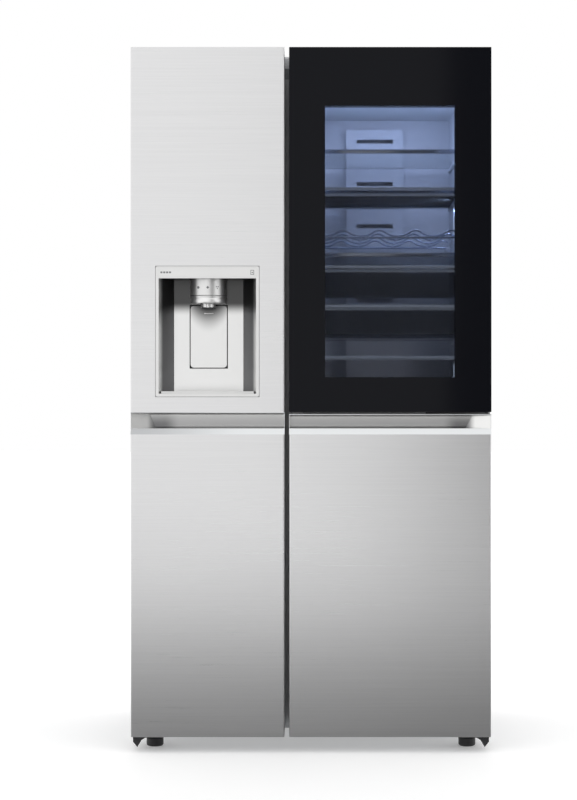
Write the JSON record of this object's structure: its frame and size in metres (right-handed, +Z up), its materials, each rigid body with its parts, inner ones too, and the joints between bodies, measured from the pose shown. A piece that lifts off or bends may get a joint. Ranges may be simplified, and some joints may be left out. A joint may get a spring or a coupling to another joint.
{
  "type": "side by side refrigerator",
  "caption": "Side by side refrigerator: brushed steel doors with a handle groove, water and ice dispenser at left, black glass door in door with a window at right.",
  "frame": {"origin": "middle of the footprint, on the floor under the feet", "axes": "+Z up, -Y towards the person in front of the doors, +X to that person's right"},
  "size_m": [0.913, 0.735, 1.79],
  "materials": {
    "steel_front": "satin",
    "case_paint": "satin",
    "zinc_sheet": "satin",
    "black_steel": "satin",
    "bright_screw": "gloss",
    "foam_fill": "matte",
    "liner_white": "satin",
    "dark_plastic": "satin",
    "grey_plastic": "satin",
    "groove_metal": "satin",
    "dispenser_silver": "satin",
    "clear_plastic": "gloss",
    "shelf_glass": "gloss",
    "tinted_glass": "gloss",
    "gasket_rubber": "matte",
    "chrome_wire": "gloss",
    "coil_metal": "satin",
    "lamp_lens": "gloss",
    "foot_rubber": "matte"
  },
  "bodies": {
    "cabinet": {"outer_case": "case_paint", "back_panel": "zinc_sheet", "base_pan": "zinc_sheet", "cabinet_insulation": "foam_fill", "freezer_liner": "liner_white", "fridge_liner": "liner_white", "centre_mullion": "dark_plastic", "top_cover": "dark_plastic", "top_hinges": "black_steel", "bottom_hinges": "black_steel", "hinge_screws": "bright_screw", "freezer_shelves": "shelf_glass", "fridge_shelves": "shelf_glass", "bottle_rack": "chrome_wire", "air_ducts": "liner_white", "evaporator": "coil_metal", "cabin_lamps": "lamp_lens", "water_filter": "liner_white", "compressor": "black_steel", "condenser": "coil_metal", "drain_pan": "dark_plastic", "water_valve": "grey_plastic", "machine_cover": "zinc_sheet", "cord_gland": "dark_plastic"},
    "freezer_door": {"freezer_door_panels": "steel_front", "freezer_door_core": "foam_fill", "freezer_door_liner": "liner_white", "freezer_door_gasket": "gasket_rubber", "freezer_door_caps": "grey_plastic", "freezer_handle": "groove_metal", "dispenser_frame": "dispenser_silver", "dispenser_display": "dispenser_silver", "dispenser_cavity": "dispenser_silver", "dispenser_head": "dispenser_silver", "drip_tray": "dark_plastic", "ice_bin": "clear_plastic", "freezer_door_baskets": "clear_plastic"},
    "fridge_door": {"fridge_door_panel": "steel_front", "fridge_door_body": "grey_plastic", "fridge_door_liner": "liner_white", "fridge_door_gasket": "gasket_rubber", "fridge_door_caps": "grey_plastic", "fridge_handle": "groove_metal", "fridge_door_baskets": "clear_plastic", "outer_door_hinges": "black_steel"},
    "outer_door": {"outer_door_glass": "tinted_glass", "outer_door_frame": "dark_plastic", "outer_door_gasket": "gasket_rubber"},
    "paddle": {"dispenser_paddle": "dispenser_silver"},
    "auger": {"ice_auger": "coil_metal"},
    "button": {"release_button": "dark_plastic"},
    "front_foot_left": {"front_foot_left": "foot_rubber"},
    "front_foot_right": {"front_foot_right": "foot_rubber"},
    "rear_rollers": {"rear_rollers": "dark_plastic"},
    "condenser_fan": {"condenser_fan": "dark_plastic"},
    "evaporator_fan": {"evaporator_fan": "dark_plastic"},
    "freezer_drawer_lower": {"freezer_drawer_lower": "clear_plastic"},
    "freezer_drawer_upper": {"freezer_drawer_upper": "clear_plastic"},
    "crisper_lower": {"crisper_lower": "clear_plastic"},
    "crisper_upper": {"crisper_upper": "clear_plastic"}
  },
  "joints": [
    {"name": "freezer_door_swing", "type": "hinge", "parent": "cabinet", "child": "freezer_door", "pos_m": [-0.4325, -0.3065, 0.9], "axis": [0, 0, -1], "range_deg": [0, 120]},
    {"name": "fridge_door_swing", "type": "hinge", "parent": "cabinet", "child": "fridge_door", "pos_m": [0.4325, -0.3065, 0.9], "axis": [0, 0, 1], "range_deg": [0, 120]},
    {"name": "outer_door_swing", "type": "hinge", "parent": "fridge_door", "child": "outer_door", "pos_m": [0.4445, -0.3565, 1.3], "axis": [0, 0, 1], "range_deg": [0, 90]},
    {"name": "paddle_push", "type": "hinge", "parent": "freezer_door", "child": "paddle", "pos_m": [-0.26215, -0.2925, 1.124], "axis": [1, 0, 0], "range_deg": [0, 6], "stiffness_Nm_per_rad": 2, "springref_deg": -5.73},
    {"name": "release_press", "type": "slide", "parent": "outer_door", "child": "button", "axis": [0, 0, 1], "range_m": [0, 0.003], "stiffness_N_per_m": 600, "springref_m": -0.002},
    {"name": "auger_spin", "type": "hinge", "parent": "freezer_door", "child": "auger", "pos_m": [-0.257, -0.207, 1.334], "axis": [1, 0, 0], "continuous": true},
    {"name": "front_foot_left_screw", "type": "slide", "parent": "cabinet", "child": "front_foot_left", "axis": [0, 0, -1], "range_m": [0, 0.012]},
    {"name": "front_foot_right_screw", "type": "slide", "parent": "cabinet", "child": "front_foot_right", "axis": [0, 0, -1], "range_m": [0, 0.012]},
    {"name": "rear_rollers_roll", "type": "hinge", "parent": "cabinet", "child": "rear_rollers", "pos_m": [0, 0.3, 0.02], "axis": [1, 0, 0], "continuous": true},
    {"name": "condenser_fan_spin", "type": "hinge", "parent": "cabinet", "child": "condenser_fan", "pos_m": [0.04, 0.245, 0.176], "axis": [1, 0, 0], "continuous": true},
    {"name": "evaporator_fan_spin", "type": "hinge", "parent": "cabinet", "child": "evaporator_fan", "pos_m": [-0.243, 0.262, 0.88], "axis": [0, 1, 0], "continuous": true},
    {"name": "freezer_drawer_lower_slide", "type": "slide", "parent": "cabinet", "child": "freezer_drawer_lower", "axis": [0, -1, 0], "range_m": [0, 0.2]},
    {"name": "freezer_drawer_upper_slide", "type": "slide", "parent": "cabinet", "child": "freezer_drawer_upper", "axis": [0, -1, 0], "range_m": [0, 0.2]},
    {"name": "crisper_lower_slide", "type": "slide", "parent": "cabinet", "child": "crisper_lower", "axis": [0, -1, 0], "range_m": [0, 0.2]},
    {"name": "crisper_upper_slide", "type": "slide", "parent": "cabinet", "child": "crisper_upper", "axis": [0, -1, 0], "range_m": [0, 0.2]}
  ],
  "couplings": [
    {"joint": "freezer_drawer_lower_slide", "follows": "freezer_door_swing", "m_per_rad": 0.095},
    {"joint": "freezer_drawer_upper_slide", "follows": "freezer_door_swing", "m_per_rad": 0.095},
    {"joint": "crisper_lower_slide", "follows": "fridge_door_swing", "m_per_rad": 0.095},
    {"joint": "crisper_upper_slide", "follows": "fridge_door_swing", "m_per_rad": 0.095}
  ]
}
